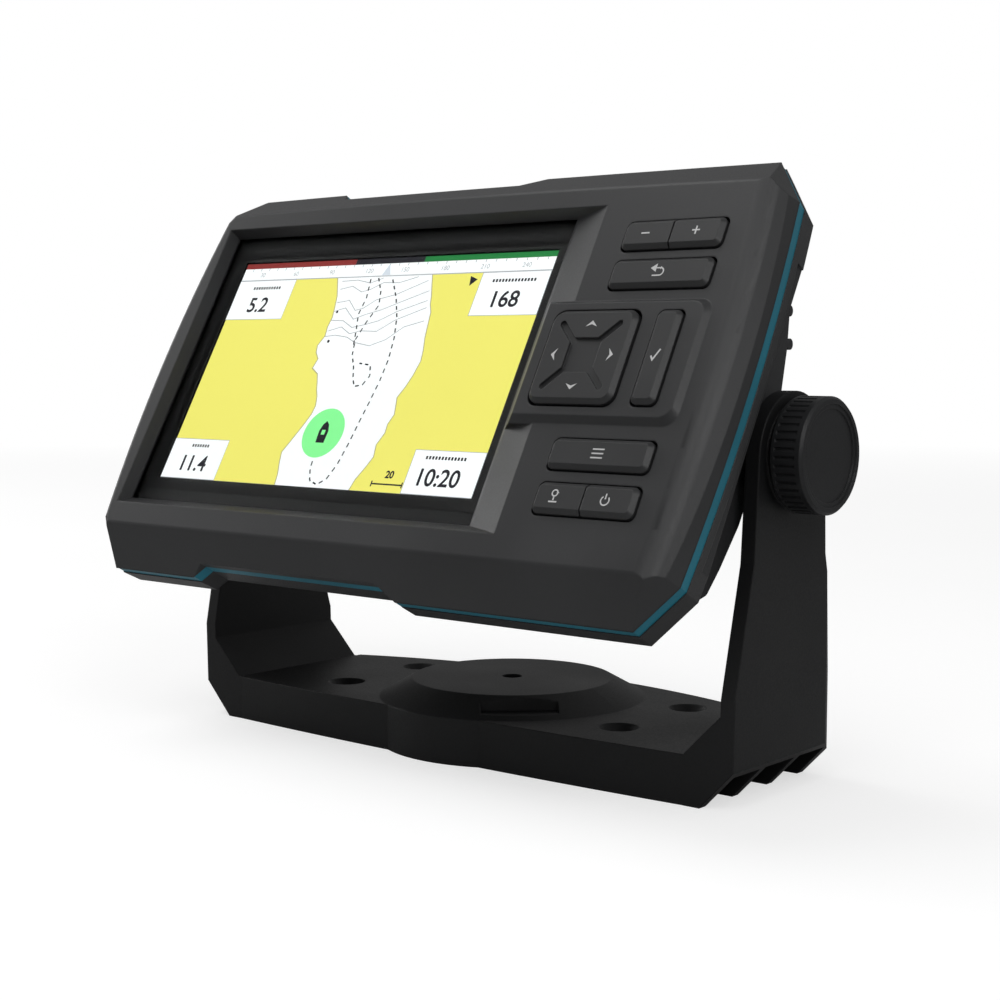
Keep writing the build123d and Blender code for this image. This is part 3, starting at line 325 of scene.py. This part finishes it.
# ---- Picture ----
LEFT, RIGHT, LOW, HIGH = -77.8, 30.2, -32.4, 32.4
BAND_LOW, COMPASS_LOW = 30.8, 27.2
PICTURE_BACK, STEP = -0.62, 0.035
WHITE = lit("picture_white", (0.93, 0.95, 0.95))
LAND = lit("picture_land", (0.83, 0.78, 0.16))
SHORE = lit("picture_shore", (0.42, 0.4, 0.22))
INK = lit("picture_ink", (0.02, 0.02, 0.025))
GREY = lit("picture_grey", (0.38, 0.4, 0.42))
PALE = lit("picture_pale", (0.62, 0.68, 0.74))
GREEN = lit("picture_green", (0.24, 0.9, 0.3))
RED_BAND = lit("picture_red_band", (0.24, 0.033, 0.03))
GREEN_BAND = lit("picture_green_band", (0.02, 0.2, 0.05))
PORT_SHORE = [
    (-40.8, 27.2), (-39.6, 24.5), (-38.3, 21.5), (-37.6, 18.4), (-37.0, 15.2), (-37.4, 12.4), (-37.0, 9.8),
    (-38.4, 7.0), (-37.9, 5.0), (-36.3, 3.1), (-37.0, 0.4), (-34.4, -1.2), (-33.3, -3.6), (-32.4, -5.8),
    (-31.4, -7.6), (-30.6, -10.2), (-30.9, -12.6), (-32.2, -15.6), (-33.4, -18.0), (-34.6, -20.4),
    (-36.2, -23.4), (-35.6, -26.2), (-34.6, -29.4), (-34.2, LOW),
]
STARBOARD_SHORE = [
    (-7.6, 27.2), (-6.6, 24.4), (-5.2, 20.8), (-4.6, 18.6), (-3.4, 16.2), (-2.8, 12.6), (-2.2, 9.0),
    (-1.2, 5.6), (-0.7, 2.6), (-1.5, -1.4), (-2.6, -4.6), (-4.0, -7.4), (-3.4, -9.6), (-2.8, -12.0),
    (-3.8, -14.6), (-3.6, -17.0), (-5.0, -20.2), (-4.4, -23.4), (-5.6, -26.0), (-7.6, -29.6), (-8.4, LOW),
]


def layer(name, outlines, depth, material):
    """One layer of the picture. A higher depth is nearer the viewer."""
    flat(name, outlines, PICTURE_BACK + STEP * depth, material, "display", "lcd_glass")


layer("picture_water", [box(LEFT, LOW, RIGHT, HIGH)], 0, WHITE)
layer("picture_land_port", [[(LEFT, COMPASS_LOW), (LEFT, LOW)] + PORT_SHORE[::-1]], 1, LAND)
layer("picture_land_starboard", [[(RIGHT, COMPASS_LOW)] + STARBOARD_SHORE + [(RIGHT, LOW)]], 1, LAND)
layer("picture_shoreline", stroke(PORT_SHORE, 0.3) + stroke(STARBOARD_SHORE, 0.3), 2, SHORE)
CONTOURS = (
    ((-38.2, 23.6), (-34.0, 24.4), (-30.0, 22.6), (-27.0, 23.4), (-23.4, 25.2), (-18.0, 25.0), (-12.0, 26.6)),
    ((-37.4, 19.6), (-33.2, 20.2), (-29.8, 17.2), (-27.2, 17.8), (-23.6, 20.2), (-17.4, 21.6), (-8.2, 25.4)),
    ((-37.2, 17.0), (-33.6, 18.0), (-29.2, 14.6), (-26.0, 15.8), (-20.6, 17.2), (-14.8, 19.4), (-6.6, 22.4)),
    ((-37.0, 14.4), (-32.6, 14.2), (-28.6, 12.2), (-24.4, 13.0), (-20.2, 14.0), (-15.0, 16.6), (-6.0, 19.6)),
    ((-36.8, 11.2), (-32.4, 12.4), (-28.6, 10.4), (-25.0, 11.2), (-19.4, 11.0), (-14.4, 14.2), (-5.4, 17.6)),
    ((-37.2, 9.6), (-33.4, 10.0), (-29.0, 9.4), (-25.4, 7.8), (-20.0, 6.9), (-15.2, 8.6), (-10.6, 12.2),
     (-4.6, 13.8)),
    ((-38.6, 26.0), (-33.0, 26.2), (-28.0, 25.2), (-24.0, 26.6)),
)
layer("picture_contours", [quad for line in CONTOURS for quad in stroke(line, 0.22)], 1, GREY)
TRACKS = (
    ((-20.6, 26.0), (-17.0, 20.6), (-14.2, 15.0), (-12.4, 9.0), (-11.6, 3.0), (-11.8, -3.0), (-12.6, -9.0),
     (-13.4, -14.0), (-14.2, -20.0), (-15.4, -26.0), (-17.2, -30.0), (-19.8, -31.6), (-22.6, -30.6),
     (-24.0, -27.4), (-24.2, -24.8)),
    ((-25.8, 26.6), (-23.2, 22.6), (-22.0, 18.6), (-24.2, 13.4), (-25.6, 8.6), (-24.6, 4.2), (-22.6, 1.0),
     (-21.2, -2.4), (-19.8, -4.6), (-17.2, -4.2), (-15.8, -1.6), (-17.0, 1.4), (-21.0, 1.9)),
    ((-28.4, 26.4), (-27.4, 20.8), (-28.0, 16.0), (-26.6, 11.4), (-25.4, 6.6)),
)
layer("picture_tracks", [quad for line in TRACKS for quad in dashes(line, 0.42, 1.25, 1.05)], 3, INK)
layer("picture_own_ship_ring", [disc(-24.2, -17.7, 6.8)], 4, GREEN)
HULL = [
    (-25.6, -20.4), (-22.8, -20.4), (-22.6, -17.2), (-23.2, -15.4), (-24.2, -14.4), (-25.2, -15.4),
    (-25.8, -17.2),
]
layer("picture_own_ship", [HULL], 5, INK)
layer("picture_own_ship_cabin", [box(-24.8, -18.2, -23.6, -16.9)], 6, GREEN)
DOTS = [disc(-35.0, 8.2, 0.45, 16), disc(-36.0, 16.8, 0.4, 16)]
ARROWHEAD = [(5.4, 26.2), (8.0, 25.2), (6.0, 23.4)]
layer("picture_marks", DOTS + [ARROWHEAD], 3, INK)
SCALE_ENDS = [box(u - 0.2, -31.1, u + 0.2, -29.6) for u in (-1.9, 7.9)]
layer("picture_scale_bar", [box(-1.9, -30.55, 7.9, -30.15)] + SCALE_ENDS, 3, INK)
layer("picture_compass", [box(LEFT, COMPASS_LOW, RIGHT, BAND_LOW)], 3, WHITE)
layer("picture_compass_line", [box(LEFT, 26.95, RIGHT, 27.25)], 4, GREY)
layer("picture_red_band", [box(LEFT, BAND_LOW, -36.0, HIGH)], 3, RED_BAND)
layer("picture_dark_band", [box(-36.0, BAND_LOW, -12.0, HIGH)], 3, INK)
layer("picture_green_band", [box(-12.0, BAND_LOW, RIGHT, HIGH)], 3, GREEN_BAND)
TICKS = [box(u - 0.12, 30.0, u + 0.12, BAND_LOW) for u in [LEFT + 3.2 * i for i in range(1, 34)]]
layer("picture_compass_ticks", TICKS, 4, GREY)
layer("picture_pointer", [[(-25.0, 27.3), (-22.0, 27.3), (-23.5, 30.7)]], 5, PALE)
BOXES = (
    (LEFT, 15.0, -56.0, 26.95), (9.2, 15.0, RIGHT, 26.95),
    (LEFT, LOW, -56.8, -21.0), (8.4, LOW, RIGHT, -21.0),
)
layer("picture_boxes", [box(*b) for b in BOXES], 4, WHITE)
layer("picture_box_lines", [quad for b in BOXES for quad in stroke(box(*b), 0.16, True)], 5, GREY)
# Each label is a row of short bars in place of a word: its middle, height and width.
LABELS = ((-66.2, 24.6, 10.5), (19.8, 24.6, 13.5), (-67.0, -22.9, 6.5), (18.6, -22.9, 12.5))
BARS = []
for middle, height, width in LABELS:
    left = middle - width / 2
    while left < middle + width / 2 - 0.6:
        BARS.append(box(left, height - 0.42, left + 0.62, height + 0.42))
        left += 0.98
layer("picture_labels", BARS, 5, INK)
TEXT_LEVEL = PICTURE_BACK + STEP * 5
for name, text, u, v, size in (
    ("picture_number_a", "5.2", -67.2, 19.2, 6.2),
    ("picture_number_b", "168", 18.6, 19.2, 6.2),
    ("picture_number_c", "11.4", -67.4, -28.2, 6.2),
    ("picture_number_d", "10:20", 18.0, -28.2, 6.2),
    ("picture_number_e", "20", 3.0, -27.9, 2.6),
):
    digits(name, text, u, v, size, TEXT_LEVEL, INK, "display", 0.1)
for index, u in enumerate((-70.0, -57.0, -43.5, -30.0, -17.5, -4.0, 9.0, 22.0)):
    bearing = str(30 + 30 * index)
    digits(f"picture_bearing_{index}", bearing, u, 28.7, 1.9, TEXT_LEVEL, GREY, "display")

# ---- Black border printed on the back of the glass ----
BORDER_LEVEL = -0.19
OUTER = box(-84.4, -41.0, 34.8, 41.0)
INNER = box(LEFT - 0.3, LOW - 0.3, RIGHT + 0.3, HIGH + 0.3)
BORDER = [[OUTER[i], OUTER[(i + 1) % 4], INNER[(i + 1) % 4], INNER[i]] for i in range(4)]
flat("lens_border", BORDER, BORDER_LEVEL, MATERIALS["black_foam"], "display", "black_foam")

# ---- Symbols on the keys, at the levels of the low key tops and of the tall ones ----
CAP, TALL = 5.87, 7.07
ICON = printed("icon_white", (0.62, 0.62, 0.62))


def chevron(u, v, du, dv):
    """A barbed arrowhead that points along (du, dv)."""
    tip, tail, spread = 0.75, 0.45, 1.55
    return [
        (u + du * tip, v + dv * tip),
        (u - du * tip - dv * spread, v - dv * tip + du * spread),
        (u - du * tail * 0.4, v - dv * tail * 0.4),
        (u - du * tip + dv * spread, v - dv * tip - du * spread),
    ]


SYMBOLS = (
    ("icon_zoom_out", "button_zoom_out", CAP, [box(57.85, 31.64, 60.05, 32.02)]),
    ("icon_zoom_in", "button_zoom_in", CAP,
     [box(71.3, 31.78, 73.3, 32.14), box(72.1, 32.14, 72.5, 33.0), box(72.1, 30.9, 72.5, 31.78)]),
    ("icon_back", "button_back", CAP,
     stroke([(65.0, 22.6), (66.3, 22.6)] + ring(66.3, 21.65, 0.95, 90, -90, 14) + [(64.5, 20.7)], 0.34)
     + [[(65.2, 23.7), (63.6, 22.6), (65.2, 21.6)]]),
    ("icon_pad", "pad_cap", TALL,
     [chevron(53.8, 8.1, 0, 1), chevron(46.0, 0.35, -1, 0),
      chevron(61.5, 0.35, 1, 0), chevron(53.7, -7.55, 0, -1)]),
    ("icon_ok", "button_ok", TALL, stroke([(72.2, 0.1), (72.9, -0.9), (74.2, 1.7)], 0.42)),
    ("icon_menu", "button_menu", CAP,
     [box(64.3, v - 0.17, 67.4, v + 0.17) for v in (-21.75, -22.75, -23.75)]),
    ("icon_mark", "button_mark", CAP,
     stroke(ring(58.3, -32.4, 0.72, 0, 360, 24), 0.34, True)
     + [box(58.12, -34.1, 58.48, -33.3), box(57.2, -34.6, 59.4, -34.25)]),
    ("icon_power", "button_power", CAP,
     stroke(ring(71.7, -33.4, 1.05, 125, 415, 30), 0.32) + [box(71.53, -33.1, 71.87, -31.8)]),
)
for name, body, height, shapes in SYMBOLS:
    flat(name, shapes, height, ICON, body, "white_plastic")

# ---- Floor, light and camera ----
AMBIENT = 0.3  # strength of the white surroundings, apart from what the camera sees directly
bpy.ops.mesh.primitive_plane_add(size=40, location=(0, 0, 0))
floor = bpy.context.object
floor.name = "floor"
ground = Nodes("floor_paint")
mottle = ground.noise(6.0, 2.0)
spot = ground.add("ShaderNodeTexCoord")
reach = ground.add("ShaderNodeVectorMath", {0: spot.outputs["Object"]}, operation="LENGTH")
far = ground.ramp(reach.outputs["Value"], 0.3, 1.5, 0.0, 1.0)
near_paint = ground.blend(mottle, rgb(0.5, 0.5, 0.5), rgb(0.53, 0.53, 0.53))
seen = ground.add("ShaderNodeLightPath")
glow = ground.add("ShaderNodeMath", operation="MULTIPLY")
ground.link(seen.outputs["Is Camera Ray"], glow.inputs[0])
ground.link(ground.ramp(far, 0.0, 1.0, 0.62, 1.0), glow.inputs[1])
ground.set(Base_Color=ground.blend(far, near_paint, rgb(0.0, 0.0, 0.0)), Roughness=0.8)
ground.set(**{"Emission Color": rgb(1, 1, 1), "Emission Strength": glow.outputs[0]})
ground.set(**{"Specular IOR Level": 0.0})
floor.data.materials.append(ground.material)

world = bpy.data.worlds.new("studio")
world.use_nodes = True
sky = world.node_tree
path = sky.nodes.new("ShaderNodeLightPath")
shade = sky.nodes.new("ShaderNodeMapRange")
sky.links.new(path.outputs["Is Camera Ray"], shade.inputs["Value"])
shade.inputs["To Min"].default_value = AMBIENT
shade.inputs["To Max"].default_value = 1.0
sky.links.new(shade.outputs["Result"], sky.nodes["Background"].inputs["Strength"])
sky.nodes["Background"].inputs["Color"].default_value = (1, 1, 1, 1)
bpy.context.scene.world = world

LAMP_DISTANCE = 1.2


def softbox(name, direction, size, radiance):
    """A large soft lamp that faces the display, placed by the direction it is seen in."""
    lamp = bpy.data.lights.new(name, "AREA")
    lamp.shape = "RECTANGLE"
    lamp.size, lamp.size_y = size
    lamp.energy = radiance * pi * size[0] * size[1]
    holder = bpy.data.objects.new(name, lamp)
    aim = Vector((0, 0, 0.08))
    holder.location = aim + Vector(direction).normalized() * LAMP_DISTANCE
    holder.rotation_euler = (aim - holder.location).to_track_quat("-Z", "Y").to_euler()
    bpy.context.scene.collection.objects.link(holder)


softbox("lamp_right", (0.72, -0.42, 0.55), (0.5, 0.8), 3.0)
softbox("lamp_left", (-0.92, -0.04, 0.37), (0.5, 0.5), 2.8)
softbox("lamp_key", (-0.38, -0.15, 0.91), (0.8, 0.45), 3.0)
softbox("lamp_band", (0.215, -0.6, 0.77), (0.5, 0.5), 2.6)

lens = bpy.data.cameras.new("camera")
lens.sensor_width = 36.0
lens.lens = 63.37
lens.clip_start = 0.01
camera = bpy.data.objects.new("camera", lens)
camera.location = (0.28714, -0.34166, 0.10023)
camera.rotation_euler = (radians(90 - 4.84), 0, radians(39.9))
bpy.context.scene.collection.objects.link(camera)
bpy.context.scene.camera = camera
bpy.context.scene.view_settings.view_transform = "Standard"
